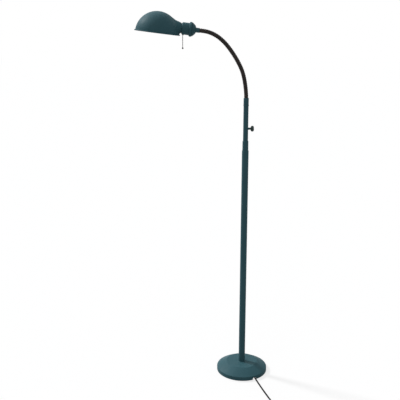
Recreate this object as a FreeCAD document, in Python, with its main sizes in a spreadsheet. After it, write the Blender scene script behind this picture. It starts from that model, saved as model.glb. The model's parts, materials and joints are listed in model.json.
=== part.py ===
"""Gooseneck reading floor lamp: round weighted foot, two-stage pole, sliding rod with a
thumbscrew, flexible neck and a domed shade with a pull switch.

Frame: millimetres, +Z up, origin on the floor under the pole, the neck reaching towards -X.
Every driving size is a cell of the sheet "Sizes"; the sub-parts read those cells.
"""
import FreeCAD, Part
import Sketcher
import math
import os
import re

from FreeCAD import Placement, Rotation, Vector

doc = FreeCAD.newDocument("reading_floor_lamp")

# --------------------------------------------------------------------------------------
# Driving sizes
# --------------------------------------------------------------------------------------
SIZES = {
    # foot
    "foot_radius": 108.0,
    "foot_rim_height": 17.0,
    "foot_top_radius": 67.0,
    "foot_height": 40.0,
    "foot_wall": 1.5,
    "foot_lift": 0.8,
    "rim_round": 3.0,
    "shoulder_round": 3.5,
    "pad_radius": 104.5,
    "pad_thickness": 3.0,
    "weight_radius": 104.0,
    "weight_disc_top": 15.2,
    "weight_hub_radius": 40.0,
    "weight_hub_top": 38.2,
    "channel_width": 38.0,
    "channel_top": 12.6,
    "channel_azimuth": -56.5,
    "pad_slot_start": 79.0,
    "nut_recess_radius": 16.0,
    "nut_recess_top": 26.0,
    "notch_width": 18.0,
    "notch_height": 11.5,
    "notch_azimuth": -62.6,
    "clamp_length": 15.0,
    "clamp_width": 16.0,
    "clamp_height": 9.0,
    "clamp_foot": 3.2,
    # threaded tube that ties pole, cover and weight together
    "nipple_radius": 4.8,
    "nipple_bore": 3.3,
    "nipple_foot": 17.0,
    "nipple_top": 56.0,
    "nut_across_flats": 16.0,
    "nut_height": 5.6,
    "washer_radius": 12.0,
    "washer_height": 1.6,
    # pole
    "lower_pole_radius": 13.6,
    "lower_pole_bore": 12.1,
    "lower_pole_top": 976.6,
    "coupling_radius": 12.0,
    "coupling_foot": 936.0,
    "coupling_seat": 985.0,
    "coupling_top": 1015.5,
    "pole_edge_round": 0.9,
    "coupling_round": 1.2,
    "bush_round": 2.0,
    "upper_pole_radius": 10.1,
    "upper_pole_bore": 9.0,
    "upper_pole_top": 1156.3,
    "bush_radius": 11.15,
    "bush_top": 1162.2,
    "bush_foot": 1134.0,
    # sliding rod and its sleeve
    "rod_radius": 7.5,
    "rod_bore": 5.4,
    "rod_foot": 768.0,
    "rod_groove_radius": 6.6,
    "rod_lip": 2.0,
    "guide_radius": 8.9,
    "guide_height": 19.4,
    "sleeve_radius": 10.45,
    "sleeve_foot": 1162.4,
    "sleeve_top": 1187.75,
    "sleeve_socket_top": 1178.0,
    "sleeve_round": 1.0,
    # clearances: running fits, threads, stacked faces and drilled holes
    "running_gap": 0.05,
    "thread_gap": 0.02,
    "seat_gap": 0.1,
    "hole_gap": 0.3,
    # thumbscrew
    "screw_height": 1065.4,
    "screw_boss_radius": 4.4,
    "screw_boss_end": 15.0,
    "screw_thread_radius": 2.45,
    "screw_stem_radius": 4.1,
    "screw_stem_start": 15.3,
    "tip_start": 7.6,
    "tip_collar": 9.0,
    "tip_end": 11.0,
    "tip_radius": 1.95,
    "tip_neck_radius": 1.0,
    "knob_start": 19.7,
    "knob_shoulder": 21.9,
    "knob_rim_start": 24.2,
    "knob_middle": 26.3,
    "knob_rim_end": 28.9,
    "knob_crown": 32.0,
    "knob_end": 32.9,
    "knob_radius": 11.6,
    "knob_back_radius": 6.0,
    "knob_shoulder_radius": 10.4,
    "knob_crown_radius": 9.5,
    "knob_face_radius": 5.8,
    # flexible neck
    "neck_start": 1189.0,
    "neck_pitch": 23.05,
    "neck_radius": 8.3,
    "neck_gap": 2.5,
    "neck_ball": 4.8,
    "neck_cup": 5.1,
    "neck_stem": 3.0,
    "neck_bore": 1.9,
    "gentle_turn": 3.25,
    "middle_turn": 6.8,
    "tight_turn": 10.0,
    # head: distances along the lamp holder's axis are measured from the shade's centre
    "head_tilt": 7.2,
    "holder_rise": 30.0,
    "collar_end": 162.0,
    "collar_radius": 9.2,
    "collar_round": 0.8,
    "bell_start": 133.5,
    "bell_radius": 26.6,
    "bell_knee": 145.5,
    "bell_knee_radius": 16.2,
    "bell_end": 148.2,
    "bell_end_radius": 10.6,
    "bell_wall": 1.6,
    "stud_start": 142.5,
    "stud_radius": 4.7,
    "collar_nut_radius": 8.5,
    "ring_start": 121.3,
    "ring_radius": 28.0,
    "ring_bore": 21.4,
    "ring_round": 4.6,
    "cup_start": 92.4,
    "cup_radius": 23.3,
    "cup_wall": 1.2,
    "cup_mouth": 17.6,
    "cup_round": 5.6,
    "cup_lip": 1.4,
    "cup_bevel": 4.0,
    "barrel_start": 82.0,
    "barrel_radius": 15.2,
    "barrel_bore": 13.75,
    "barrel_flange": 106.0,
    "barrel_flange_radius": 20.0,
    "barrel_floor": 117.5,
    "barrel_end": 121.0,
    "switch_end": 132.5,
    "switch_radius": 17.5,
    "shell_bore": 13.35,
    "shell_floor_gap": 4.0,
    "contact_radius": 4.5,
    "contact_height": 0.9,
    "cap_radius": 13.05,
    "cap_start": 88.0,
    "cap_thread_end": 108.0,
    "cap_end": 113.0,
    "cap_end_radius": 7.5,
    "cap_button_radius": 4.6,
    "bulb_radius": 27.5,
    "bulb_centre": 44.5,
    "bulb_shoulder": 60.0,
    "bulb_shoulder_radius": 20.6,
    "bulb_neck": 80.5,
    "bulb_neck_radius": 12.8,
    # shade
    "dome_radius": 86.0,
    "dome_drop": 3.5,
    "shade_wall": 1.0,
    "bead_radius": 2.2,
    "bead_ring": 87.3,
    "throat_start": 56.0,
    "throat_start_radius": 30.4,
    "throat_waist": 84.0,
    "throat_waist_radius": 22.0,
    "throat_end": 92.2,
    "throat_end_radius": 17.2,
    "throat_blend": 9.0,
    "mouth_depth": 20.0,
    "sleeve_root": 0.6,
    "sleeve_step": 0.2,
    "sleeve_end": 105.6,
    "sleeve_bore": 15.35,
    "shade_ring_end": 86.4,
    "shade_ring_radius": 18.4,
    # pull switch
    "chain_station": 99.3,
    "eyelet_radius": 3.2,
    "eyelet_tube_radius": 2.55,
    "eyelet_bore": 2.1,
    "eyelet_drop": 26.4,
    "stub_top": 19.9,
    "stub_drop": 27.1,
    "link_reach": 11.2,
    "link_length": 18.0,
    "link_width": 4.0,
    "link_thickness": 0.9,
    "link_drop": 21.1,
    "bead_size": 1.6,
    "bead_pitch": 4.0,
    "first_bead": 3.3,
    "chain_wire_radius": 0.5,
    "chain_wire_start": 1.4,
    "chain_drop": 48.1,
    "pull_ball": 3.3,
    # mains cord
    "cord_radius": 3.1,
    "inner_lead_radius": 2.4,
    "inner_lead_bend": 10.0,
    "inner_lead_run": 14.0,
    "coil_middle": 34.1,
    "coil_width": 24.9,
    "coil_height": 12.5,
    "coil_lift": 1.0,
    "coil_east": 171.2,
    "coil_north": -335.9,
    "tie_azimuth": 60.0,
    "tie_width": 7.0,
    "tie_wall": 0.7,
    "tie_room": 0.4,
    # plug
    "relief_length": 20.0,
    "relief_radius": 5.3,
    "relief_tip_radius": 3.8,
    "plug_length": 25.0,
    "plug_width": 25.0,
    "plug_height": 16.6,
    "plug_round": 3.6,
    "blade_length": 17.5,
    "blade_width": 6.3,
    "blade_thickness": 1.5,
    "blade_spacing": 12.7,
}

sheet = doc.addObject("Spreadsheet::Sheet", "Sizes")
for row, (alias, number) in enumerate(SIZES.items(), start=1):
    sheet.set("A%d" % row, alias)
    sheet.set("B%d" % row, str(number))
    sheet.setAlias("B%d" % row, alias)
doc.recompute()

# The neck's turns from the sleeve to the head, and the routes of the cord before and after
# its coil
NECK_TURNS = (["gentle_turn"] * 4 + ["middle_turn"] * 2 + ["gentle_turn"] * 4
              + ["middle_turn"] * 2 + ["tight_turn"] * 3)
CORD_ROUTE = [
    Vector(46.4, -66.0, 6.2),
    Vector(52.5, -90.3, 4.0),
    Vector(62.5, -129.0, 3.3),
    Vector(79.0, -190.8, 3.3),
    Vector(101.7, -267.5, 3.5),
    Vector(130.4, -350.7, 4.1),
]
PLUG_ROUTE = [
    Vector(186.1, -376.7, 10.4),
    Vector(198.9, -371.9, 10.2),
    Vector(212.5, -367.0, 9.4),
    Vector(225.5, -362.4, 9.2),
]
CORNER_SHARE = 0.45


def bound(text):
    """The expression with every sheet alias written in full."""
    return re.sub(r"[a-z_]+", lambda word: "Sizes." + word.group(0)
                  if word.group(0) in SIZES else word.group(0), str(text))


def size(text):
    """The present value of an expression over the sheet's aliases, in millimetres."""
    return float(sheet.evalExpression(bound(text)))


# --------------------------------------------------------------------------------------
# Helpers: turned bodies, primitives and booleans, all reading the sheet
# --------------------------------------------------------------------------------------
def origin_plane(body, role):
    """One of the body's own origin planes."""
    return [feature for feature in body.Origin.OriginFeatures if feature.Role == role][0]


def new_body(label):
    body = doc.addObject("PartDesign::Body", label)
    body.Label = label
    return body


def new_sketch(body, name, role, offset=None):
    """An empty sketch on one of the body's own origin planes."""
    sketch = body.newObject("Sketcher::SketchObject", name)
    sketch.AttachmentSupport = [(origin_plane(body, role), "")]
    sketch.MapMode = "FlatFace"
    if offset is not None:
        sketch.AttachmentOffset = offset
    return sketch


def draw_outline(sketch, corners):
    """A closed outline whose corners are held at the distances given as expressions."""
    places = [Vector(size(across), size(up), 0) for across, up in corners]
    for index, place in enumerate(places):
        sketch.addGeometry(Part.LineSegment(place, places[(index + 1) % len(places)]), False)
    for index in range(len(places)):
        following = (index + 1) % len(places)
        sketch.addConstraint(Sketcher.Constraint("Coincident", index, 2, following, 1))
    for index, (across, up) in enumerate(corners):
        for kind, text, present in (("DistanceX", across, places[index].x),
                                    ("DistanceY", up, places[index].y)):
            if abs(present) < 1e-9:
                other = "PointOnObject"
                line = -2 if kind == "DistanceX" else -1
                sketch.addConstraint(Sketcher.Constraint(other, index, 1, line))
                continue
            number = sketch.addConstraint(
                Sketcher.Constraint(kind, -1, 1, index, 1, present))
            sketch.setExpression("Constraints[%d]" % number, bound(text))
    return sketch


def turned(label, corners, axis="V_Axis"):
    """A body turned about the upright (V) or the lengthwise (H) axis of its outline.
    Upright: corners are (radius, height). Lengthwise: corners are (station, radius)."""
    body = new_body(label)
    sketch = draw_outline(new_sketch(body, label + "_outline", "XZ_Plane"), corners)
    turn = body.newObject("PartDesign::Revolution", label + "_turn")
    turn.Profile = sketch
    turn.ReferenceAxis = (sketch, [axis])
    turn.Angle = 360.0
    body.Tip = turn
    doc.recompute()
    return body


def round_rings(body, spots, radius):
    """Round the circular edges at (radius, height) or (station, radius) spots of a turned body."""
    base = body.Tip
    names = []
    for number, edge in enumerate(base.Shape.Edges, start=1):
        if not isinstance(edge.Curve, Part.Circle):
            continue
        centre, ring = edge.Curve.Center, edge.Curve.Radius
        for first, second in spots:
            upright = abs(ring - size(first)) < 0.02 and abs(centre.z - size(second)) < 0.02
            lengthwise = abs(ring - size(second)) < 0.02 and abs(centre.x - size(first)) < 0.02
            if upright or lengthwise:
                names.append("Edge%d" % number)
    fillet = body.newObject("PartDesign::Fillet", body.Label + "_round%d" % len(body.Group))
    fillet.Base = (base, sorted(set(names)))
    fillet.setExpression("Radius", bound(radius))
    body.Tip = fillet
    doc.recompute()
    return body


def pocket(body, sketch, length, reversed_cut):
    """Cut the sketch out of the body, and make sure that it removed something."""
    before = body.Tip.Shape.Volume
    cut = body.newObject("PartDesign::Pocket", body.Label + "_pocket%d" % len(body.Group))
    cut.Profile = sketch
    cut.setExpression("Length", bound(length))
    cut.Reversed = reversed_cut
    body.Tip = cut
    doc.recompute()
    if cut.Shape.Volume > before - 1.0:
        raise RuntimeError(body.Label + ": the pocket removed nothing")
    return body


def primitive(kind, name, place=None, **sizes):
    """A Part primitive with its sizes bound to the sheet."""
    item = doc.addObject("Part::" + kind, name)
    for prop, text in sizes.items():
        item.setExpression(prop, bound(text))
    if place is not None:
        item.Placement = place
    return item


def fused(name, pieces):
    item = doc.addObject("Part::MultiFuse", name)
    item.Shapes = pieces
    return item


def cut_from(name, base, tool):
    item = doc.addObject("Part::Cut", name)
    item.Base = base
    item.Tool = tool
    return item


def shift(x=0.0, y=0.0, z=0.0):
    return Placement(Vector(x, y, z), Rotation())


def along_x(x=0.0, y=0.0, z=0.0):
    """Lays a primitive that stands on +Z along +X."""
    return Placement(Vector(x, y, z), Rotation(Vector(0, 1, 0), 90))


PARTS = {}


def keep(item, label=None, place=None):
    """Register a finished sub-part under the name of its file."""
    if label is not None:
        item.Label = label
    if place is not None:
        item.Placement = place
    PARTS[item.Label] = item
    return item


# --------------------------------------------------------------------------------------
# Foot
# --------------------------------------------------------------------------------------
def spun_about_z(angle):
    """Attachment offset that turns a sketch on the XZ plane about the vertical axis."""
    return Placement(Vector(0, 0, 0), Rotation(Vector(0, 1, 0), angle))


def azimuth_sketch(body, name, azimuth):
    """An upright sketch through the axis whose normal points out at the azimuth."""
    return new_sketch(body, name, "XZ_Plane", spun_about_z(size(azimuth) + 90.0))


def make_foot():
    cover = turned("base_cover", [
        ("0", "foot_lift"),
        ("foot_radius", "foot_lift"),
        ("foot_radius", "foot_rim_height"),
        ("foot_top_radius", "foot_height"),
        ("0", "foot_height"),
    ])
    round_rings(cover, [("foot_radius", "foot_rim_height")], "rim_round")
    round_rings(cover, [("foot_top_radius", "foot_height")], "shoulder_round")
    solid = cover.Tip
    underside = ["Face%d" % number for number, face in enumerate(solid.Shape.Faces, start=1)
                 if abs(face.CenterOfMass.z - size("foot_lift")) < 0.01]
    shell = cover.newObject("PartDesign::Thickness", "base_cover_shell")
    shell.Base = (solid, underside)
    shell.setExpression("Value", bound("foot_wall"))
    shell.Reversed = True
    cover.Tip = shell
    doc.recompute()
    bore = new_sketch(cover, "base_cover_bore", "XY_Plane")
    draw_circle(bore, "nipple_radius + hole_gap")
    pocket(cover, bore, "foot_height + 5", True)
    notch = azimuth_sketch(cover, "base_cover_notch", "notch_azimuth")
    draw_arch(notch, "notch_width", "notch_height")
    pocket(cover, notch, "foot_radius + 5", True)
    keep(cover)

    weight = turned("base_weight", [
        ("nipple_radius + hole_gap", "nut_recess_top"),
        ("nut_recess_radius", "nut_recess_top"),
        ("nut_recess_radius", "pad_thickness + seat_gap"),
        ("weight_radius", "pad_thickness + seat_gap"),
        ("weight_radius", "weight_disc_top"),
        ("weight_hub_radius + 6", "weight_disc_top"),
        ("weight_hub_radius", "weight_hub_top"),
        ("nipple_radius + hole_gap", "weight_hub_top"),
    ])
    channel = azimuth_sketch(weight, "base_weight_channel", "channel_azimuth")
    draw_outline(channel, [
        ("0 - channel_width / 2", "0 - 1"),
        ("channel_width / 2", "0 - 1"),
        ("channel_width / 2", "channel_top"),
        ("0 - channel_width / 2", "channel_top"),
    ])
    pocket(weight, channel, "foot_radius + 5", True)
    keep(weight)

    pad = turned("base_pad", [
        ("0", "0"),
        ("pad_radius", "0"),
        ("pad_radius", "pad_thickness"),
        ("0", "pad_thickness"),
    ])
    slot = new_sketch(pad, "base_pad_slot", "XY_Plane", Placement(
        Vector(0, 0, 0), Rotation(Vector(0, 0, 1), size("channel_azimuth"))))
    draw_outline(slot, [
        ("pad_slot_start", "0 - channel_width / 2 + 2"),
        ("foot_radius + 5", "0 - channel_width / 2 + 2"),
        ("foot_radius + 5", "channel_width / 2 - 2"),
        ("pad_slot_start", "channel_width / 2 - 2"),
    ])
    pocket(pad, slot, "pad_thickness + 1", True)
    keep(pad)


def draw_circle(sketch, radius):
    sketch.addGeometry(Part.Circle(Vector(0, 0, 0), Vector(0, 0, 1), size(radius)), False)
    sketch.addConstraint(Sketcher.Constraint("Coincident", 0, 3, -1, 1))
    number = sketch.addConstraint(Sketcher.Constraint("Radius", 0, size(radius)))
    sketch.setExpression("Constraints[%d]" % number, bound(radius))


def draw_arch(sketch, width, height):
    """An arched opening standing on the floor, with a half-round top."""
    half = size(width) / 2
    spring = size(height) - half
    sketch.addGeometry(Part.LineSegment(Vector(-half, -1, 0), Vector(half, -1, 0)), False)
    sketch.addGeometry(Part.LineSegment(Vector(half, -1, 0), Vector(half, spring, 0)), False)
    top = Part.Circle(Vector(0, spring, 0), Vector(0, 0, 1), half)
    sketch.addGeometry(Part.ArcOfCircle(top, 0.0, math.pi), False)
    sketch.addGeometry(Part.LineSegment(Vector(-half, spring, 0), Vector(-half, -1, 0)), False)
    for first, end, second, start in ((0, 2, 1, 1), (1, 2, 2, 1), (2, 2, 3, 1), (3, 2, 0, 1)):
        sketch.addConstraint(Sketcher.Constraint("Coincident", first, end, second, start))
    sketch.addConstraint(Sketcher.Constraint("Horizontal", 0))
    sketch.addConstraint(Sketcher.Constraint("Vertical", 1))
    sketch.addConstraint(Sketcher.Constraint("Vertical", 3))
    sketch.addConstraint(Sketcher.Constraint("PointOnObject", 2, 3, -2))
    radius = sketch.addConstraint(Sketcher.Constraint("Radius", 2, half))
    sketch.setExpression("Constraints[%d]" % radius, bound(width + " / 2"))
    rise = sketch.addConstraint(Sketcher.Constraint("DistanceY", -1, 1, 2, 3, spring))
    sketch.setExpression("Constraints[%d]" % rise, bound("%s - %s / 2" % (height, width)))
    sketch.addConstraint(Sketcher.Constraint("DistanceY", 0, 1, -1, 1, 1.0))


def make_foot_fixings():
    keep(turned("base_nipple", [
        ("nipple_bore", "nipple_foot"),
        ("nipple_radius", "nipple_foot"),
        ("nipple_radius", "nipple_top"),
        ("nipple_bore", "nipple_top"),
    ]))
    keep(turned("base_washer", [
        ("nipple_radius + seat_gap", "nut_recess_top - washer_height"),
        ("washer_radius", "nut_recess_top - washer_height"),
        ("washer_radius", "nut_recess_top"),
        ("nipple_radius + seat_gap", "nut_recess_top"),
    ]))
    blank = primitive("Prism", "base_nut_blank", Height="nut_height",
                      Circumradius="nut_across_flats / sqrt(3)")
    blank.Polygon = 6
    hole = primitive("Cylinder", "base_nut_hole", Height="nut_height",
                     Radius="nipple_radius + thread_gap")
    keep(cut_from("base_nut", blank, hole), "base_nut",
         shift(z=size("nut_recess_top - washer_height - nut_height")))

    exit_run = (CORD_ROUTE[1] - CORD_ROUTE[0])
    heading = math.degrees(math.atan2(exit_run.y, exit_run.x))
    length = size("clamp_length")
    corner = shift(-length, -size("clamp_width") / 2, size("clamp_foot"))
    block = primitive("Box", "cord_clamp_block", corner, Length="clamp_length",
                      Width="clamp_width", Height="clamp_height")
    bore = primitive("Cylinder", "cord_clamp_bore", along_x(x=-length - 1, z=CORD_ROUTE[0].z),
                     Radius="cord_radius", Height="clamp_length + 2")
    place = Placement(Vector(CORD_ROUTE[0].x, CORD_ROUTE[0].y, 0),
                      Rotation(Vector(0, 0, 1), heading))
    keep(cut_from("cord_clamp", block, bore), "cord_clamp", place)
    return heading


# --------------------------------------------------------------------------------------
# Pole, rod and sleeve
# --------------------------------------------------------------------------------------
def make_pole():
    keep(turned("pole_foot_bush", [
        ("nipple_radius + thread_gap", "foot_height + seat_gap"),
        ("lower_pole_bore - thread_gap", "foot_height + seat_gap"),
        ("lower_pole_bore - thread_gap", "nipple_top - 2"),
        ("nipple_radius + thread_gap", "nipple_top - 2"),
    ]))
    keep(turned("lower_pole", [
        ("lower_pole_bore", "foot_height + running_gap"),
        ("lower_pole_radius", "foot_height + running_gap"),
        ("lower_pole_radius", "lower_pole_top"),
        ("lower_pole_bore", "lower_pole_top"),
    ]))
    round_rings(PARTS["lower_pole"], [("lower_pole_radius", "lower_pole_top")],
                "pole_edge_round")
    keep(turned("pole_coupling", [
        ("upper_pole_bore", "coupling_foot"),
        ("coupling_radius", "coupling_foot"),
        ("coupling_radius", "coupling_top"),
        ("upper_pole_radius + thread_gap", "coupling_top"),
        ("upper_pole_radius + thread_gap", "coupling_seat"),
        ("upper_pole_bore", "coupling_seat"),
    ]))
    round_rings(PARTS["pole_coupling"], [("coupling_radius", "coupling_top")],
                "coupling_round")
    upper = turned("upper_pole", [
        ("upper_pole_bore", "coupling_seat"),
        ("upper_pole_radius", "coupling_seat"),
        ("upper_pole_radius", "upper_pole_top"),
        ("upper_pole_bore", "upper_pole_top"),
    ])
    hole = new_sketch(upper, "upper_pole_screw_hole", "YZ_Plane")
    draw_side_hole(hole, "screw_thread_radius + seat_gap", "screw_height")
    pocket(upper, hole, "foot_radius", True)
    keep(upper)
    keep(turned("tube_end_bush", [
        ("rod_radius + running_gap", "bush_foot"),
        ("upper_pole_bore - thread_gap", "bush_foot"),
        ("upper_pole_bore - thread_gap", "upper_pole_top"),
        ("bush_radius", "upper_pole_top"),
        ("bush_radius", "bush_top"),
        ("rod_radius + running_gap", "bush_top"),
    ]))
    round_rings(PARTS["tube_end_bush"], [("bush_radius", "upper_pole_top"),
                                         ("bush_radius", "bush_top")], "bush_round")


def draw_side_hole(sketch, radius, height):
    """A round hole at a height, on the upright plane that faces along X."""
    sketch.addGeometry(Part.Circle(Vector(0, size(height), 0), Vector(0, 0, 1), size(radius)), False)
    sketch.addConstraint(Sketcher.Constraint("PointOnObject", 0, 3, -2))
    width = sketch.addConstraint(Sketcher.Constraint("Radius", 0, size(radius)))
    sketch.setExpression("Constraints[%d]" % width, bound(radius))
    rise = sketch.addConstraint(Sketcher.Constraint("DistanceY", -1, 1, 0, 3, size(height)))
    sketch.setExpression("Constraints[%d]" % rise, bound(height))


def make_rod():
    keep(turned("inner_rod", [
        ("rod_bore", "rod_foot"),
        ("rod_radius", "rod_foot"),
        ("rod_radius", "rod_foot + rod_lip"),
        ("rod_groove_radius", "rod_foot + rod_lip"),
        ("rod_groove_radius", "rod_foot + rod_lip + guide_height + 4 * seat_gap"),
        ("rod_radius", "rod_foot + rod_lip + guide_height + 4 * seat_gap"),
        ("rod_radius", "sleeve_socket_top"),
        ("rod_bore", "sleeve_socket_top"),
    ]))
    keep(turned("rod_guide", [
        ("rod_groove_radius + running_gap", "rod_foot + rod_lip + 2 * seat_gap"),
        ("guide_radius", "rod_foot + rod_lip + 2 * seat_gap"),
        ("guide_radius", "rod_foot + rod_lip + 2 * seat_gap + guide_height"),
        ("rod_groove_radius + running_gap", "rod_foot + rod_lip + 2 * seat_gap + guide_height"),
    ]))
    body = turned("neck_sleeve_body", [
        ("rod_radius", "sleeve_foot"),
        ("sleeve_radius", "sleeve_foot"),
        ("sleeve_radius", "sleeve_top"),
        ("neck_bore", "sleeve_top"),
        ("neck_bore", "sleeve_socket_top"),
        ("rod_radius", "sleeve_socket_top"),
    ])
    round_rings(body, [("sleeve_radius", "sleeve_top"), ("sleeve_radius", "sleeve_foot")],
                "sleeve_round")
    stem = primitive("Cylinder", "neck_sleeve_stem", shift(z=size("sleeve_top - 1")),
                     Radius="neck_stem", Height="neck_start - sleeve_top + 1")
    ball = primitive("Sphere", "neck_sleeve_ball", shift(z=size("neck_start")),
                     Radius="neck_ball")
    bore = primitive("Cylinder", "neck_sleeve_bore", shift(z=size("sleeve_socket_top")),
                     Radius="neck_bore", Height="neck_start")
    whole = fused("neck_sleeve_solid", [body, stem, ball])
    keep(cut_from("neck_sleeve", whole, bore), "neck_sleeve")


def make_thumbscrew():
    height = size("screw_height")
    # the boss is coped to the pole: a short tube that dies into the pole's round wall
    outer = primitive("Cylinder", "screw_boss_outer", along_x(x=size("upper_pole_bore"), z=height),
                      Radius="screw_boss_radius", Height="screw_boss_end - upper_pole_bore")
    pole = primitive("Cylinder", "screw_boss_pole", shift(z=height - size("screw_boss_end")),
                     Radius="upper_pole_radius", Height="2 * screw_boss_end")
    thread = primitive("Cylinder", "screw_boss_thread", along_x(x=0, z=height),
                       Radius="screw_thread_radius + running_gap", Height="2 * screw_boss_end")
    coped = cut_from("screw_boss_coped", outer, pole)
    keep(cut_from("screw_boss", coped, thread), "screw_boss")

    # the tip turns freely in the shank's end and presses on the rod
    keep(turned("screw_tip", [
        ("tip_start", "0"),
        ("tip_start", "tip_radius"),
        ("tip_collar", "tip_radius"),
        ("tip_collar", "tip_neck_radius"),
        ("tip_end", "tip_neck_radius"),
        ("tip_end", "0"),
    ], axis="H_Axis"), place=shift(z=height))
    keep(turned("thumbscrew_shank", [
        ("tip_end + seat_gap", "0"),
        ("tip_end + seat_gap", "tip_neck_radius + running_gap"),
        ("tip_collar + seat_gap", "tip_neck_radius + running_gap"),
        ("tip_collar + seat_gap", "screw_thread_radius"),
        ("screw_stem_start", "screw_thread_radius"),
        ("screw_stem_start", "screw_stem_radius"),
        ("knob_start", "screw_stem_radius"),
        ("knob_start", "screw_thread_radius"),
        ("knob_middle", "screw_thread_radius"),
        ("knob_middle", "0"),
    ], axis="H_Axis"), place=shift(z=height))
    keep(turned("thumbscrew_knob", [
        ("knob_start", "screw_thread_radius"),
        ("knob_start", "knob_back_radius"),
        ("knob_shoulder", "knob_shoulder_radius"),
        ("knob_rim_start", "knob_radius"),
        ("knob_rim_end", "knob_radius"),
        ("knob_crown", "knob_crown_radius"),
        ("knob_end", "knob_face_radius"),
        ("knob_end", "0"),
        ("knob_middle", "0"),
        ("knob_middle", "screw_thread_radius"),
    ], axis="H_Axis"), place=shift(z=height))


# --------------------------------------------------------------------------------------
# Flexible neck: short ball-ended lengths along the centreline
# --------------------------------------------------------------------------------------
def neck_points():
    """The pivots of the neck, from the sleeve to the collar, and the lengths' leans in degrees."""
    points = [Vector(0, 0, size("neck_start"))]
    leans = []
    lean = 0.0
    for turn in NECK_TURNS:
        lean += size(turn)
        step = Vector(-math.sin(math.radians(lean)), 0, math.cos(math.radians(lean)))
        points.append(points[-1] + step * size("neck_pitch"))
        leans.append(lean)
    return points, leans


def make_neck(points, leans):
    pitch, gap = size("neck_pitch"), size("neck_gap")
    for index, lean in enumerate(leans):
        name = "gooseneck_%02d" % (index + 1)
        barrel = primitive("Cylinder", name + "_barrel", shift(z=gap / 2), Radius="neck_radius",
                           Height="neck_pitch - neck_gap")
        stem = primitive("Cylinder", name + "_stem", shift(z=pitch - gap), Radius="neck_stem",
                         Height="neck_gap")
        ball = primitive("Sphere", name + "_ball", shift(z=pitch), Radius="neck_ball")
        cup = primitive("Sphere", name + "_cup", Radius="neck_cup")
        bore = primitive("Cylinder", name + "_bore", shift(z=-5), Radius="neck_bore",
                         Height="neck_pitch + 20")
        solid = fused(name + "_solid", [barrel, stem, ball])
        hollow = fused(name + "_hollow", [cup, bore])
        keep(cut_from(name, solid, hollow), name,
             Placement(points[index], Rotation(Vector(0, 1, 0), -lean)))


# --------------------------------------------------------------------------------------
# Head: all pieces turned about the lamp holder's axis, which runs along the local X
# --------------------------------------------------------------------------------------
def head_places(neck_end):
    """Placements of the shade's rim frame and of the holder's axis frame."""
    turn = Rotation(Vector(0, 1, 0), size("head_tilt"))
    reach = size("collar_end + neck_gap / 2")
    axis_place = Placement(neck_end - turn.multVec(Vector(reach, 0, 0)), turn)
    rim_place = Placement(axis_place.Base - turn.multVec(Vector(0, 0, size("holder_rise"))), turn)
    return rim_place, axis_place


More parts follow.
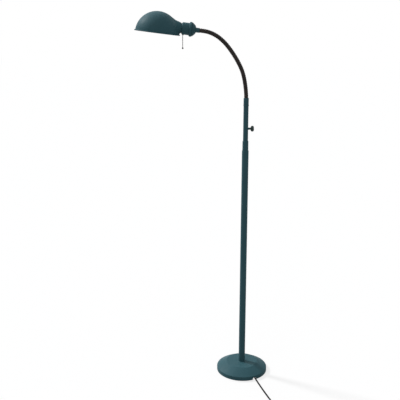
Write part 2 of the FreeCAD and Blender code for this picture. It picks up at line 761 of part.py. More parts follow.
def make_holder(axis_place):
    collar = turned("neck_collar_body", [
        ("stud_start", "neck_bore"),
        ("stud_start", "stud_radius"),
        ("bell_end + seat_gap", "stud_radius"),
        ("bell_end + seat_gap", "collar_radius"),
        ("collar_end", "collar_radius"),
        ("collar_end", "neck_bore"),
    ], axis="H_Axis")
    round_rings(collar, [("collar_end", "collar_radius")], "collar_round")
    cup = primitive("Sphere", "neck_collar_cup", shift(x=size("collar_end + neck_gap / 2")),
                    Radius="neck_cup")
    keep(cut_from("neck_collar", collar, cup), "neck_collar", axis_place)

    keep(turned("bell_cap", [
        ("bell_start", "bell_radius - bell_wall"),
        ("bell_start", "bell_radius"),
        ("bell_knee", "bell_knee_radius"),
        ("bell_end", "bell_end_radius"),
        ("bell_end", "stud_radius + running_gap"),
        ("bell_end - bell_wall", "stud_radius + running_gap"),
        ("bell_end - bell_wall", "bell_end_radius - bell_wall"),
        ("bell_knee - 1", "bell_knee_radius - bell_wall"),
    ], axis="H_Axis"), place=axis_place)
    ring = turned("cup_flange", [
        ("ring_start", "ring_bore"),
        ("ring_start", "ring_radius"),
        ("bell_start - running_gap", "ring_radius"),
        ("bell_start - running_gap", "ring_bore"),
    ], axis="H_Axis")
    round_rings(ring, [("ring_start", "ring_radius"),
                       ("bell_start - running_gap", "ring_radius")], "ring_round")
    keep(ring, place=axis_place)
    cup_body = turned("socket_cup_body", [
        ("cup_start", "cup_mouth"),
        ("cup_start", "cup_radius"),
        ("ring_start - running_gap", "cup_radius"),
        ("ring_start - running_gap", "cup_radius - cup_wall"),
        ("cup_start + 2 * cup_wall + cup_bevel", "cup_radius - cup_wall"),
        ("cup_start + 2 * cup_wall", "cup_mouth + cup_lip"),
        ("cup_start + 2 * cup_wall", "cup_mouth"),
    ], axis="H_Axis")
    round_rings(cup_body, [("cup_start", "cup_radius")], "cup_round")
    chain_hole = primitive("Cylinder", "socket_cup_chain_hole",
                           shift(x=size("chain_station"), z=-size("cup_radius + cup_wall")),
                           Radius="eyelet_tube_radius + running_gap", Height="4 * cup_wall")
    keep(cut_from("socket_cup", cup_body, chain_hole), "socket_cup", axis_place)
    keep(turned("collar_nut", [
        ("stud_start + seat_gap", "stud_radius + thread_gap"),
        ("stud_start + seat_gap", "collar_nut_radius"),
        ("bell_end - bell_wall - seat_gap", "collar_nut_radius"),
        ("bell_end - bell_wall - seat_gap", "stud_radius + thread_gap"),
    ], axis="H_Axis"), place=axis_place)

    keep(turned("socket_body", [
        ("barrel_start", "barrel_bore"),
        ("barrel_start", "barrel_radius"),
        ("barrel_flange", "barrel_radius"),
        ("barrel_flange", "barrel_flange_radius"),
        ("barrel_end", "barrel_flange_radius"),
        ("barrel_end", "0"),
        ("barrel_floor", "0"),
        ("barrel_floor", "barrel_bore"),
    ], axis="H_Axis"), place=axis_place)
    keep(turned("screw_shell", [
        ("cap_start", "shell_bore"),
        ("cap_start", "barrel_bore - running_gap"),
        ("barrel_floor - shell_floor_gap", "barrel_bore - running_gap"),
        ("barrel_floor - shell_floor_gap", "shell_bore"),
    ], axis="H_Axis"), place=axis_place)
    keep(turned("centre_contact", [
        ("barrel_floor - contact_height", "0"),
        ("barrel_floor - contact_height", "contact_radius"),
        ("barrel_floor", "contact_radius"),
        ("barrel_floor", "0"),
    ], axis="H_Axis"), place=axis_place)
    keep(turned("switch_block", [
        ("barrel_end + seat_gap", "0"),
        ("barrel_end + seat_gap", "switch_radius"),
        ("switch_end", "switch_radius"),
        ("switch_end", "0"),
    ], axis="H_Axis"), place=axis_place)


def make_bulb(axis_place):
    """A round lamp bulb with a tapering neck, and its screw cap."""
    globe = primitive("Sphere", "bulb_globe", along_x(x=size("bulb_centre")),
                      Radius="bulb_radius")
    taper = primitive("Cone", "bulb_taper", along_x(x=size("bulb_shoulder")),
                      Radius1="bulb_shoulder_radius", Radius2="bulb_neck_radius",
                      Height="bulb_neck - bulb_shoulder")
    neck = primitive("Cylinder", "bulb_neck", along_x(x=size("bulb_neck")),
                     Radius="bulb_neck_radius", Height="cap_start - bulb_neck")
    keep(fused("bulb_glass", [globe, taper, neck]), "bulb_glass", axis_place)
    keep(turned("bulb_cap", [
        ("cap_start + running_gap", "0"),
        ("cap_start + running_gap", "cap_radius"),
        ("cap_thread_end", "cap_radius"),
        ("cap_end", "cap_end_radius"),
        ("cap_end", "cap_button_radius"),
        ("barrel_floor - contact_height - seat_gap", "cap_button_radius"),
        ("barrel_floor - contact_height - seat_gap", "0"),
    ], axis="H_Axis"), place=axis_place)


def dome_blank(name, radius, wall):
    """The part of a ball that stands on the rim plane."""
    lowest = math.degrees(math.asin(size("dome_drop") / size(radius + " - " + wall)))
    ball = primitive("Sphere", name, shift(z=-size("dome_drop")), Radius=radius + " - " + wall,
                     Angle1=str(lowest), Angle2="90")
    return ball


def throat_blank(name, wall):
    """The shade's tapering throat as a solid of revolution about the holder's axis."""
    body = turned(name, [
        ("throat_start", "0"),
        ("throat_start", "throat_start_radius - " + wall),
        ("throat_waist", "throat_waist_radius - " + wall),
        ("throat_end", "throat_end_radius - " + wall),
        ("throat_end + 2", "throat_end_radius - " + wall),
        ("throat_end + 2", "0"),
    ], axis="H_Axis")
    body.Placement = shift(z=size("holder_rise"))
    return body


def make_shade(rim_place, axis_place):
    outer = fused("shade_outer", [dome_blank("shade_dome", "dome_radius", "0"),
                                  throat_blank("shade_throat", "0")])
    doc.recompute()
    joint_edges = []
    for number, edge in enumerate(outer.Shape.Edges, start=1):
        if edge.Degenerated:
            continue
        kind = edge.Curve.TypeId
        box = edge.BoundBox
        if "Circle" not in kind and "Line" not in kind and box.XMin > size("throat_start"):
            joint_edges.append((number, size("throat_blend"), size("throat_blend")))
    softened = doc.addObject("Part::Fillet", "shade_outer_soft")
    softened.Base = outer
    softened.Edges = joint_edges
    mouth = primitive("Cylinder", "shade_mouth", shift(z=-size("mouth_depth")),
                      Radius="bead_ring - bead_radius", Height="mouth_depth")
    inner = fused("shade_inner", [dome_blank("shade_dome_inner", "dome_radius", "shade_wall"),
                                  throat_blank("shade_throat_inner", "shade_wall"), mouth])
    bead = primitive("Torus", "shade_bead", shift(z=size("bead_radius")), Radius1="bead_ring",
                     Radius2="bead_radius")
    shell = cut_from("shade_shell", softened, inner)
    sleeve = turned("shade_sleeve", [
        ("throat_end - sleeve_root", "sleeve_bore"),
        ("throat_end - sleeve_root", "throat_end_radius - sleeve_step"),
        ("throat_end", "throat_end_radius"),
        ("sleeve_end", "throat_end_radius"),
        ("sleeve_end", "sleeve_bore"),
    ], axis="H_Axis")
    sleeve.Placement = shift(z=size("holder_rise"))
    bore = primitive("Cylinder", "shade_bore",
                     along_x(x=size("throat_waist"), z=size("holder_rise")),
                     Radius="sleeve_bore", Height="throat_waist")
    joined = fused("shade_joined", [shell, bead, sleeve])
    keep(cut_from("shade", joined, bore), "shade", rim_place)

    keep(turned("shade_ring", [
        ("barrel_start + hole_gap", "barrel_radius + running_gap"),
        ("barrel_start + hole_gap", "shade_ring_radius"),
        ("shade_ring_end", "shade_ring_radius"),
        ("shade_ring_end", "barrel_radius + running_gap"),
    ], axis="H_Axis"), place=axis_place)


def make_pull_switch(axis_place):
    station, drop = size("chain_station"), size("eyelet_drop")
    tube = primitive("Cylinder", "chain_eyelet_tube", shift(x=station, z=-drop),
                     Radius="eyelet_tube_radius", Height="eyelet_drop - cup_radius + 2 * cup_wall")
    lip = primitive("Cylinder", "chain_eyelet_lip", shift(x=station, z=-drop),
                    Radius="eyelet_radius", Height="eyelet_drop - cup_radius - hole_gap")
    hole = primitive("Cylinder", "chain_eyelet_hole", shift(x=station, z=-drop - 1),
                     Radius="eyelet_bore", Height="eyelet_drop - cup_radius + 4 * cup_wall")
    keep(cut_from("chain_eyelet", fused("chain_eyelet_solid", [tube, lip]), hole),
         "chain_eyelet", axis_place)

    # the stub of chain inside the eyelet, and the flat link that runs back to the switch
    keep(primitive("Cylinder", "pull_stub",
                   axis_place.multiply(shift(station, 0, -size("stub_drop"))),
                   Radius="bead_size", Height="stub_drop - stub_top"), "pull_stub")
    link_corner = shift(station + size("link_reach"), -size("link_width") / 2, -size("link_drop"))
    keep(primitive("Box", "pull_link", axis_place.multiply(link_corner), Length="link_length",
                   Width="link_width", Height="link_thickness"), "pull_link")

    hinge = axis_place.multVec(Vector(station, 0, -size("stub_drop")))
    low_end = hinge.z - size("chain_drop")
    top_end = hinge.z - size("chain_wire_start")
    count = int(size("(chain_drop - first_bead - pull_ball) / bead_pitch")) + 1
    beads = [primitive("Sphere", "chain_bead_%02d" % (number + 1),
                       shift(hinge.x, 0, hinge.z - size("first_bead") - number * size("bead_pitch")),
                       Radius="bead_size")
             for number in range(count)]
    wire = primitive("Cylinder", "chain_wire", shift(hinge.x, 0, low_end),
                     Radius="chain_wire_radius", Height=str(top_end - low_end))
    ball_room = primitive("Sphere", "chain_ball_room", shift(hinge.x, 0, low_end),
                          Radius="pull_ball")
    keep(cut_from("bead_chain", fused("bead_chain_solid", beads + [wire]), ball_room),
         "bead_chain")
    keep(primitive("Sphere", "pull_ball_end", shift(hinge.x, 0, low_end), Radius="pull_ball"),
         "pull_ball")
    return hinge


# --------------------------------------------------------------------------------------
# Leads: straight runs joined by tangent arcs
# --------------------------------------------------------------------------------------
def rounded_route(points, radii):
    """Edges along the points, each corner rounded as far as its two runs allow, or by the
    radius given for it."""
    edges, printed = [], []
    start = points[0]
    for index in range(1, len(points) - 1):
        before = points[index] - points[index - 1]
        after = points[index + 1] - points[index]
        turn = before.getAngle(after)
        shorter = min(before.Length, after.Length)
        radius = radii.get(index, CORNER_SHARE * shorter / math.tan(turn / 2))
        reach = radius * math.tan(turn / 2)
        into = Vector(before).normalize()
        out = Vector(after).normalize()
        first = points[index] - into * reach
        last = points[index] + out * reach
        inward = Vector(out - into).normalize()
        middle = points[index] + inward * (radius / math.cos(turn / 2) - radius)
        edges.append(Part.LineSegment(start, first).toShape())
        edges.append(Part.Arc(first, middle, last).toShape())
        start = last
        printed.append(round(radius, 1))
    edges.append(Part.LineSegment(start, points[-1]).toShape())
    return edges, printed


def swept_tube(label, points, radius, radii=()):
    edges, printed = rounded_route(points, dict(radii))
    path = Part.Wire(edges)
    heading = Vector(points[1] - points[0]).normalize()
    ring = Part.Wire([Part.Circle(points[0], heading, radius).toShape()])
    solid = path.makePipeShell([ring], True, False)
    item = doc.addObject("Part::Feature", label)
    item.Shape = solid
    length = path.Length
    expected = length * math.pi * radius ** 2
    print("%s: length %.1f, arc radii %s, volume / expected %.4f"
          % (label, length, printed, solid.Volume / expected))
    keep(item, label, Placement())


def make_leads(heading):
    swept_tube("power_cord", CORD_ROUTE, size("cord_radius"))
    swept_tube("plug_lead", PLUG_ROUTE, size("cord_radius"))

    direction = Vector(math.cos(math.radians(heading)), math.sin(math.radians(heading)), 0)
    clamp_back = CORD_ROUTE[0] - direction * size("clamp_length")
    clamp_back.z = CORD_ROUTE[0].z
    route = [
        clamp_back - direction * size("seat_gap"),
        clamp_back - direction * size("inner_lead_run"),
        Vector(0, 0, CORD_ROUTE[0].z),
        Vector(0, 0, size("sleeve_socket_top - 3")),
    ]
    swept_tube("inner_lead", route, size("inner_lead_radius"), {2: size("inner_lead_bend")})


def make_coil():
    """The wound length of the cord, and the strap round the coil's section."""
    centre = Vector(size("coil_east"), size("coil_north"), 0)
    outer = primitive("Cylinder", "cord_coil_outer", Radius="coil_middle + coil_width / 2",
                      Height="coil_height")
    inner = primitive("Cylinder", "cord_coil_inner", Radius="coil_middle - coil_width / 2",
                      Height="coil_height")
    keep(cut_from("cord_coil", outer, inner), "cord_coil",
         shift(centre.x, centre.y, size("coil_lift")))

    wall, width = size("tie_wall"), size("tie_width")
    strap = primitive("Box", "coil_tie_outer", Length="coil_width + 2 * tie_room + 2 * tie_wall",
                      Width="tie_width", Height="coil_height + 2 * seat_gap + 2 * tie_wall")
    room = primitive("Box", "coil_tie_room", shift(x=wall, y=-1, z=wall),
                     Length="coil_width + 2 * tie_room", Width="tie_width + 2",
                     Height="coil_height + 2 * seat_gap")
    turn = Rotation(Vector(0, 0, 1), size("tie_azimuth"))
    corner = Vector(size("coil_middle - coil_width / 2 - tie_room - tie_wall"), -width / 2,
                    size("coil_lift - seat_gap - tie_wall"))
    keep(cut_from("coil_tie", strap, room), "coil_tie",
         Placement(centre + turn.multVec(corner), turn))


def make_plug():
    """A flat two-blade plug with its tapered strain relief, lying where the lead ends."""
    last_run = PLUG_ROUTE[-1] - PLUG_ROUTE[-2]
    heading = math.degrees(math.atan2(last_run.y, last_run.x))
    place = Placement(PLUG_ROUTE[-1], Rotation(Vector(0, 0, 1), heading))
    front = size("relief_length")
    relief = primitive("Cone", "plug_relief", along_x(), Radius1="relief_tip_radius",
                       Radius2="relief_radius", Height="relief_length + 1")
    blank = primitive("Box", "plug_blank",
                      shift(front, -size("plug_width") / 2, -size("plug_height") / 2),
                      Length="plug_length", Width="plug_width", Height="plug_height")
    doc.recompute()
    far_end = front + size("plug_length")
    soft = doc.addObject("Part::Fillet", "plug_soft")
    soft.Base = blank
    soft.Edges = [(number, size("plug_round"), size("plug_round"))
                  for number, edge in enumerate(blank.Shape.Edges, start=1)
                  if edge.CenterOfMass.x < far_end - 0.5]
    keep(fused("plug_body", [relief, soft]), "plug_body", place)
    blades = []
    for number, side in ((1, -0.5), (2, 0.5)):
        middle = side * size("blade_spacing")
        corner = shift(far_end + size("running_gap"), middle - size("blade_thickness") / 2,
                       -size("blade_width") / 2)
        blades.append(primitive("Box", "plug_blade_%d" % number, corner, Length="blade_length",
                                Width="blade_thickness", Height="blade_width"))
    keep(fused("plug_blades", blades), "plug_blades", place)


def write_parts():
    """Check every object, then write one file for each sub-part."""
    doc.recompute()
    for item in doc.Objects:
        bad = [word for word in item.State if word in ("Invalid", "Error")]
        if bad:
            raise RuntimeError("%s is %s" % (item.Label, bad))
    os.makedirs("parts", exist_ok=True)
    for label, item in PARTS.items():
        shape = item.Shape
        if shape.isNull() or not shape.isValid() or not shape.Solids:
            raise RuntimeError(label + " has no valid solid")
        if len(shape.Solids) > 1:
            print("%s has %d solids" % (label, len(shape.Solids)))
        shape.exportStep("parts/%s.step" % label)
    print("%d sub-parts written" % len(PARTS))


make_foot()
clamp_heading = make_foot_fixings()
make_pole()
make_rod()
make_thumbscrew()
pivots, leans = neck_points()
make_neck(pivots, leans)
rim_place, axis_place = head_places(pivots[-1])
make_holder(axis_place)
make_bulb(axis_place)
make_shade(rim_place, axis_place)
chain_hinge = make_pull_switch(axis_place)
make_leads(clamp_heading)
make_coil()
make_plug()
print("neck pivots", [(round(p.x, 2), round(p.z, 2)) for p in pivots])
print("rim centre", rim_place.Base, "axis origin", axis_place.Base, "chain hinge", chain_hinge)
write_parts()
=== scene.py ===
"""Looks of the gooseneck reading floor lamp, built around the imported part. Metres, +Z up."""

import json
import math

import bmesh
import bpy
import numpy as np
from mathutils import Matrix, Vector


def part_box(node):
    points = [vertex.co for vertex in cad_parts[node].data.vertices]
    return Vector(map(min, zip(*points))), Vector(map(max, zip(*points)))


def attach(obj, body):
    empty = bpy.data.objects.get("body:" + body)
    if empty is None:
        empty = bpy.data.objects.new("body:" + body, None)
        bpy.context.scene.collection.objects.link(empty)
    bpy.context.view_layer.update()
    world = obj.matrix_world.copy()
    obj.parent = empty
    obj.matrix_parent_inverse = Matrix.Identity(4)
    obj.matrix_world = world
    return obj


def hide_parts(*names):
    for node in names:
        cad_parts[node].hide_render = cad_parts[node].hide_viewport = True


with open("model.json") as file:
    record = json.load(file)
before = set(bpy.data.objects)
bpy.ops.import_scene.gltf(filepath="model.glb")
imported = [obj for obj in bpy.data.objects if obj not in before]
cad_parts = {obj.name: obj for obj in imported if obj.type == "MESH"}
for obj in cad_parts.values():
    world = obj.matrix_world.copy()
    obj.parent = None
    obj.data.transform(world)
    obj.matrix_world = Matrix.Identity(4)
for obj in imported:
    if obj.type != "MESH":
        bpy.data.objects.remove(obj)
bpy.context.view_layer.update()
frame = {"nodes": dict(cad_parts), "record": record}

MM = 0.001


# --------------------------------------------------------------------------------------
# Camera, and the cord that lies on the floor
# --------------------------------------------------------------------------------------
CAMERA_PLACE = (-0.1836, -2.6416, 1.4496)
CAMERA_DOWN = 14.44
CAMERA_LENS, CAMERA_SENSOR = 59.43, 36.0
CAMERA_REACH = 100.0


def make_camera():
    data = bpy.data.cameras.new("camera")
    data.lens = CAMERA_LENS
    data.sensor_width = CAMERA_SENSOR
    data.clip_end = CAMERA_REACH
    camera = bpy.data.objects.new("camera", data)
    camera.location = CAMERA_PLACE
    camera.rotation_euler = (math.radians(90.0 - CAMERA_DOWN), 0.0, 0.0)
    bpy.context.collection.objects.link(camera)
    bpy.context.scene.camera = camera


CORD_RADIUS = 3.1
CORD_ROUTE = [
    (46.4, -66.0, 6.2),
    (52.5, -90.3, 4.0),
    (62.5, -129.0, 3.3),
    (79.0, -190.8, 3.3),
    (101.7, -267.5, 3.5),
    (130.4, -350.7, 4.1),
]
COIL_CENTRE = (171.2, -335.9)
COIL_START = 200.0
COIL_RINGS = [43.4, 37.2, 31.0, 24.8, 24.8, 31.0, 37.2, 43.4]
COIL_LAYERS = [4.1, 10.4]
COIL_HOLD, COIL_MOVE, COIL_STEP = 300.0, 30.0, 15.0
PLUG_LEAD = [(198.9, -371.9, 10.2), (212.5, -367.0, 9.4), (225.5, -362.4, 9.2)]


def coil_points():
    """The coil's turns: one layer inwards, then the next outwards, each turn on its own ring."""
    swell = 1.0 / math.cos(math.radians(COIL_STEP / 2))
    angle = COIL_START + COIL_STEP
    stations = []
    turns_a_layer = len(COIL_RINGS) // len(COIL_LAYERS)
    for index, radius in enumerate(COIL_RINGS):
        height = COIL_LAYERS[index // turns_a_layer]
        stations.append((angle, radius, height))
        stations.append((angle + COIL_HOLD, radius, height))
        angle += COIL_HOLD + COIL_MOVE
    angles, radii, heights = zip(*stations)
    points = []
    for count in range(int((angles[-1] - angles[0]) / COIL_STEP)):
        here = angles[0] + count * COIL_STEP
        reach = np.interp(here, angles, radii) * swell
        turn = math.radians(here)
        points.append((COIL_CENTRE[0] + reach * math.cos(turn),
                       COIL_CENTRE[1] + reach * math.sin(turn),
                       np.interp(here, angles, heights)))
    return points


def make_cord():
    """One smooth line from the foot's notch to the plug, wound into a coil on the way."""
    points = CORD_ROUTE + coil_points() + PLUG_LEAD
    data = bpy.data.curves.new("cord", "CURVE")
    data.dimensions = "3D"
    data.bevel_depth = CORD_RADIUS * MM
    data.bevel_resolution = 3
    data.resolution_u = 6
    data.use_fill_caps = True
    spline = data.splines.new("NURBS")
    spline.points.add(len(points) - 1)
    for control, point in zip(spline.points, points):
        control.co = (point[0] * MM, point[1] * MM, point[2] * MM, 1.0)
    spline.order_u = 3
    spline.use_endpoint_u = True
    cord = bpy.data.objects.new("cord", data)
    bpy.context.collection.objects.link(cord)
    data.materials.append(MATERIALS["cord_black"])
    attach(cord, "stand")
    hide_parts("power_cord", "cord_coil", "plug_lead")


# --------------------------------------------------------------------------------------
# Materials, all procedural
# --------------------------------------------------------------------------------------
def linear(red, green, blue):
    """A colour given in the usual 0 to 255 steps, as shaders need it."""
    steps = []
    for step in (red, green, blue):
        value = step / 255.0
        steps.append(value / 12.92 if value <= 0.04045 else ((value + 0.055) / 1.055) ** 2.4)
    return (*steps, 1.0)


COAT_ROUGHNESS = 0.25
ROUGHNESS_DETAIL = 4.0
RAMP_FIRST, RAMP_LAST = 0.35, 0.65


class Finish:
    """A material with one surface shader and helpers to drive it from noise."""

    def __init__(self, name, colour, roughness, metallic=0.0, coat=0.0, specular=0.5):
        self.material = bpy.data.materials.new(name)
        self.material.use_nodes = True
        self.nodes = self.material.node_tree.nodes
        self.links = self.material.node_tree.links
        self.surface = self.nodes["Principled BSDF"]
        self.surface.inputs["Base Color"].default_value = colour
        self.surface.inputs["Roughness"].default_value = roughness
        self.surface.inputs["Metallic"].default_value = metallic
        self.surface.inputs["Coat Weight"].default_value = coat
        self.surface.inputs["Coat Roughness"].default_value = COAT_ROUGHNESS
        self.surface.inputs["Specular IOR Level"].default_value = specular
        self.place = self.nodes.new("ShaderNodeTexCoord")

    def noise(self, scale, detail, stretch=None):
        texture = self.nodes.new("ShaderNodeTexNoise")
        texture.inputs["Scale"].default_value = scale
        texture.inputs["Detail"].default_value = detail
        source = self.place.outputs["Object"]
        if stretch is not None:
            mapping = self.nodes.new("ShaderNodeMapping")
            mapping.inputs["Scale"].default_value = stretch
            self.links.new(source, mapping.inputs["Vector"])
            source = mapping.outputs["Vector"]
        self.links.new(source, texture.inputs["Vector"])
        return texture.outputs["Fac"]

    def ramp(self, factor, low, high):
        """A colour or grey that goes from low to high over the middle of the factor's range."""
        ramp = self.nodes.new("ShaderNodeValToRGB")
        ramp.color_ramp.elements[0].position = RAMP_FIRST
        ramp.color_ramp.elements[1].position = RAMP_LAST
        ramp.color_ramp.elements[0].color = low
        ramp.color_ramp.elements[1].color = high
        self.links.new(factor, ramp.inputs["Fac"])
        return ramp.outputs["Color"]

    def vary_colour(self, scale, low, high, detail=3.0):
        colour = self.ramp(self.noise(scale, detail), low, high)
        self.links.new(colour, self.surface.inputs["Base Color"])

    def vary_roughness(self, scale, low, high, stretch=None):
        grain = self.noise(scale, ROUGHNESS_DETAIL, stretch)
        grey = self.ramp(grain, (low, low, low, 1), (high, high, high, 1))
        self.links.new(grey, self.surface.inputs["Roughness"])

    def bump(self, scale, strength, distance, detail=2.0):
        bump = self.nodes.new("ShaderNodeBump")
        bump.inputs["Strength"].default_value = strength
        bump.inputs["Distance"].default_value = distance
        self.links.new(self.noise(scale, detail), bump.inputs["Height"])
        self.links.new(bump.outputs["Normal"], self.surface.inputs["Normal"])


TEAL = (56, 91, 99)
TEAL_GLOSS = 0.1
TEAL_ROUGHNESS = 0.56
OPAL_SHARE, OPAL_DEPTH = 0.35, 0.004


def toned(colour, share):
    """A colour in 0 to 255 steps made a little darker or lighter."""
    return linear(*(step * share for step in colour))


def make_finishes():
    """The finishes, each under the name of the slot that it fills, and the chain's own."""
    teal = Finish("teal_satin", linear(*TEAL), TEAL_ROUGHNESS, specular=TEAL_GLOSS)
    teal.vary_colour(9.0, toned(TEAL, 0.97), toned(TEAL, 1.03))
    teal.vary_roughness(30.0, TEAL_ROUGHNESS - 0.04, TEAL_ROUGHNESS + 0.05)
    teal.bump(900.0, 0.05, 0.0004)

    neck = Finish("neck_oxide", linear(46, 41, 39), 0.45, specular=0.16)
    neck.vary_colour(60.0, linear(39, 35, 34), linear(52, 46, 43))
    neck.vary_roughness(90.0, 0.38, 0.55)

    knob = Finish("knob_moulded", linear(52, 68, 66), 0.45, specular=0.2)
    knob.vary_colour(40.0, linear(49, 64, 62), linear(56, 73, 70))
    knob.bump(700.0, 0.1, 0.0003)

    chain = Finish("chain_nickel", linear(62, 60, 57), 0.36, metallic=1.0)
    chain.vary_roughness(300.0, 0.3, 0.44)

    white = Finish("lining_white", linear(236, 234, 226), 0.5)
    white.vary_colour(12.0, linear(233, 231, 222), linear(240, 238, 231))
    white.bump(800.0, 0.08, 0.0003)

    iron = Finish("iron_cast", linear(52, 51, 50), 0.75, metallic=0.3)
    iron.vary_colour(70.0, linear(44, 43, 42), linear(64, 62, 60), 6.0)
    iron.bump(260.0, 0.4, 0.0012, 5.0)

    rubber = Finish("pad_ribbed", linear(32, 32, 33), 0.85)
    rubber.vary_colour(120.0, linear(28, 28, 29), linear(38, 38, 38), 5.0)
    rubber.bump(700.0, 0.3, 0.0005)

    steel = Finish("steel_drawn", linear(168, 168, 166), 0.35, metallic=1.0)
    steel.vary_roughness(14.0, 0.28, 0.45, (1.0, 1.0, 30.0))

    brass = Finish("brass_turned", linear(204, 168, 92), 0.32, metallic=1.0)
    brass.vary_roughness(60.0, 0.25, 0.42)

    plastic = Finish("plastic_brown", linear(40, 36, 33), 0.55)
    plastic.vary_colour(50.0, linear(36, 32, 30), linear(47, 42, 38))

    glass = Finish("glass_opal", linear(244, 243, 238), 0.28, coat=0.5)
    glass.vary_colour(25.0, linear(242, 241, 236), linear(248, 247, 243))
    glass.surface.inputs["Subsurface Weight"].default_value = OPAL_SHARE
    glass.surface.inputs["Subsurface Radius"].default_value = (OPAL_DEPTH,) * 3

    cap = Finish("cap_spun", linear(190, 190, 190), 0.35, metallic=1.0)
    cap.vary_roughness(80.0, 0.3, 0.45)

    cord = Finish("cord_vinyl", linear(18, 17, 18), 0.55, specular=0.08)
    cord.vary_colour(40.0, linear(15, 15, 15), linear(22, 21, 22))
    cord.bump(500.0, 0.1, 0.0003)
    made = {"teal_paint": teal, "neck_black": neck, "knob_paint": knob, "shade_white": white,
            "cast_iron": iron, "pad_rubber": rubber, "plain_steel": steel, "brass": brass,
            "socket_plastic": plastic, "bulb_glass": glass, "cap_aluminium": cap,
            "cord_black": cord, "chain_nickel": chain}
    return {slot: finish.material for slot, finish in made.items()}


CHAIN_NODES = ("pull_ball", "pull_stub", "pull_link")


def dress_nodes():
    """Each node takes its finish from its slot's name, and the chain's nodes the chain's."""
    for part in frame["record"]["subparts"]:
        finish = "chain_nickel" if part["node"] in CHAIN_NODES else part["material_slot"]
        for slot in frame["nodes"][part["node"]].material_slots:
            slot.material = MATERIALS[finish]


# --------------------------------------------------------------------------------------
# Shapes: worked in millimetres, then placed and scaled to metres
# --------------------------------------------------------------------------------------
ARC_STEP = 9.0
EDGE_SHARE = 0.98
ON_AXIS = 1e-6
LATHE_MERGE = 0.002


def outline(made, corners):
    """A wire through (radius, height, round) corners on the XZ plane, its corners rounded."""
    spots = [made.verts.new((across, 0.0, up)) for across, up, _ in corners]
    made.faces.new(spots)
    for spot, (_, _, radius) in zip(spots, corners):
        if radius <= 0:
            continue
        before, after = (edge.other_vert(spot).co - spot.co for edge in spot.link_edges)
        corner = before.angle(after)
        reach = min(radius / math.tan(corner / 2), EDGE_SHARE * before.length,
                    EDGE_SHARE * after.length)
        arcs = max(2, round((180.0 - math.degrees(corner)) / ARC_STEP))
        bmesh.ops.bevel(made, geom=[spot], offset=reach, offset_type="OFFSET", segments=arcs,
                        profile=0.5, affect="VERTICES", material=-1)
    bmesh.ops.delete(made, geom=made.faces[:], context="FACES_ONLY")
    on_axis = [edge for edge in made.edges if all(abs(spot.co.x) < ON_AXIS for spot in edge.verts)]
    bmesh.ops.delete(made, geom=on_axis, context="EDGES")


def turn_about_axis(made, steps):
    """Turn everything drawn so far once round the Z axis, and close the seam and the poles."""
    bmesh.ops.spin(made, geom=made.verts[:] + made.edges[:], cent=(0, 0, 0), axis=(0, 0, 1),
                   angle=math.tau, steps=steps, use_merge=True)
    bmesh.ops.remove_doubles(made, verts=made.verts, dist=LATHE_MERGE)
    bmesh.ops.recalc_face_normals(made, faces=made.faces)


def settle(name, made, finish, body, place=None, sharp=40.0, nodes=()):
    """Put a finished shape in its place, smooth but for its sharp edges, on its body."""
    matrix = Matrix.Scale(MM, 4) if place is None else place @ Matrix.Scale(MM, 4)
    bmesh.ops.transform(made, matrix=matrix, verts=made.verts)
    for face in made.faces:
        face.smooth = True
    for edge in made.edges:
        edge.smooth = edge.is_manifold and edge.calc_face_angle() < math.radians(sharp)
    mesh = bpy.data.meshes.new(name)
    made.to_mesh(mesh)
    made.free()
    mesh.materials.append(MATERIALS[finish])
    piece = bpy.data.objects.new(name, mesh)
    bpy.context.collection.objects.link(piece)
    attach(piece, body)
    if nodes:
        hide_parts(*nodes)
    return piece


def turned(name, corners, finish, body, place=None, steps=96, nodes=()):
    """A piece turned on a lathe from its (radius, height, round) corners."""
    made = bmesh.new()
    outline(made, corners)
    turn_about_axis(made, steps)
    return settle(name, made, finish, body, place, nodes=nodes)


def upright(height=0.0):
    return Matrix.Translation((0, 0, height * MM))


ALONG_X = Matrix.Rotation(math.radians(90), 4, "Y")

# The neck's pivots, and from them the frames of the lamp holder and of the shade's rim
NECK_START = 1189.0
NECK_PITCH = 23.05
NECK_TURNS = [3.25] * 4 + [6.8] * 2 + [3.25] * 4 + [6.8] * 2 + [10.0] * 3
HEAD_TILT = 7.2
HOLDER_RISE = 30.0
COLLAR_REACH = 163.25


def neck_pivots():
    pivots = [Vector((0.0, 0.0, NECK_START))]
    lean = 0.0
    for turn in NECK_TURNS:
        lean += math.radians(turn)
        pivots.append(pivots[-1] + Vector((-math.sin(lean), 0.0, math.cos(lean))) * NECK_PITCH)
    return pivots


PIVOTS = neck_pivots()
TILT = Matrix.Rotation(math.radians(HEAD_TILT), 4, "Y")
HOLDER = Matrix.Translation((PIVOTS[-1] - TILT @ Vector((COLLAR_REACH, 0, 0))) * MM) @ TILT
HOLDER_LATHE = HOLDER @ ALONG_X
RIM = HOLDER @ upright(-HOLDER_RISE)


# --------------------------------------------------------------------------------------
# Foot and pole
# --------------------------------------------------------------------------------------
NOTCH_AZIMUTH = -62.6
NOTCH_HALF, NOTCH_SPRING = 9.0, 2.5
CUTTER_HALF, CUTTER_MIDDLE, CUTTER_BELOW = 15.0, 103.0, 4.0
CUTTER_FLAT = 0.01


def make_foot():
    cover = turned("foot_cover", [
        (108.0, 0.8, 0.3), (108.0, 17.0, 3.4), (67.0, 40.0, 4.0), (5.1, 40.0, 0.2),
        (5.1, 38.5, 0), (66.6, 38.5, 3.0), (106.5, 16.1, 2.0), (106.5, 0.8, 0.3),
    ], "teal_paint", "stand", steps=192, nodes=["base_cover"])
    cutter = notch_cutter()
    cut = cover.modifiers.new("notch", "BOOLEAN")
    cut.object = cutter
    cut.solver = "EXACT"
    flat = bpy.data.meshes.new_from_object(
        cover.evaluated_get(bpy.context.evaluated_depsgraph_get()))
    cover.modifiers.clear()
    cover.data = flat
    bpy.data.objects.remove(cutter)


